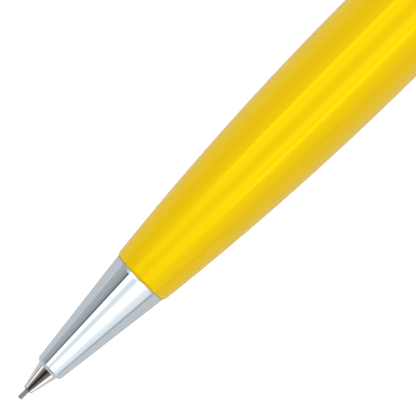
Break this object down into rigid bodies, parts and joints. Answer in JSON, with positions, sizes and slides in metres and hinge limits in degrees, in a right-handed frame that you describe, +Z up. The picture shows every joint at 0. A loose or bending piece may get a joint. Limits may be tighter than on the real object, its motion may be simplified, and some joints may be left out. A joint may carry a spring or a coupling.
{
  "type": "mechanical pencil",
  "caption": "Push-button mechanical pencil with a swelling yellow lacquered barrel, chrome nose cone, nickel lead tip, hinged clip and a pull-off button over an eraser.",
  "frame": {"origin": "bottom centre of the bounding box, on the surface that the pencil lies on", "axes": "+X along the pencil from the lead's point to the push button, +Z up from the surface, the clip to the +Y side and resting on the surface"},
  "size_m": [0.139, 0.015, 0.013],
  "materials": {
    "graphite": "satin",
    "nickel": "polished",
    "chrome": "polished",
    "yellow_lacquer": "gloss",
    "brass": "satin",
    "spring_steel": "satin",
    "black_rubber": "matte",
    "white_rubber": "matte",
    "black_plastic": "satin",
    "ivory_plastic": "satin"
  },
  "bodies": {
    "barrel": {"lower_barrel": "yellow_lacquer", "nose_cone": "chrome", "nose_o_ring": "black_rubber", "front_insert": "brass", "rear_insert": "brass", "coupler": "brass", "centre_ring": "chrome", "upper_barrel": "yellow_lacquer", "top_collar": "chrome", "top_bush": "black_plastic", "tip_cone": "nickel", "lead_retainer": "black_rubber", "mechanism_sleeve": "brass", "guide_bush": "black_plastic", "return_spring": "spring_steel", "clip_spring": "spring_steel"},
    "plunger": {"lead_tube": "ivory_plastic", "collet": "brass", "tube_connector": "black_plastic", "spare_leads": "graphite", "eraser_ferrule": "nickel", "eraser": "white_rubber"},
    "button": {"push_button": "chrome", "button_liner": "black_plastic"},
    "clutch": {"clutch_ring": "brass"},
    "lead": {"lead": "graphite"},
    "clip": {"clip": "chrome", "clip_pin": "spring_steel"}
  },
  "joints": [
    {"name": "push", "type": "slide", "parent": "barrel", "child": "plunger", "axis": [-1, 0, 0], "range_m": [0, 0.0035], "stiffness_N_per_m": 600, "springref_m": -0.004, "deforming": ["return_spring"]},
    {"name": "button_pull", "type": "slide", "parent": "plunger", "child": "button", "axis": [1, 0, 0], "range_m": [0, 0.016]},
    {"name": "clutch_slide", "type": "slide", "parent": "barrel", "child": "clutch", "axis": [-1, 0, 0], "range_m": [0, 0.0007]},
    {"name": "lead_feed", "type": "slide", "parent": "barrel", "child": "lead", "axis": [-1, 0, 0], "range_m": [-0.0014, 0.007]},
    {"name": "clip_lift", "type": "hinge", "parent": "barrel", "child": "clip", "pos_m": [0.0569, 0.00478, 0.00256], "axis": [0, -0.5628, -0.8266], "range_deg": [0, 5], "stiffness_Nm_per_rad": 1.2, "springref_deg": -5.73, "deforming": ["clip_spring"]}
  ],
  "couplings": [
    {"joint": "clutch_slide", "follows": "push", "ratio": 0.2}
  ]
}
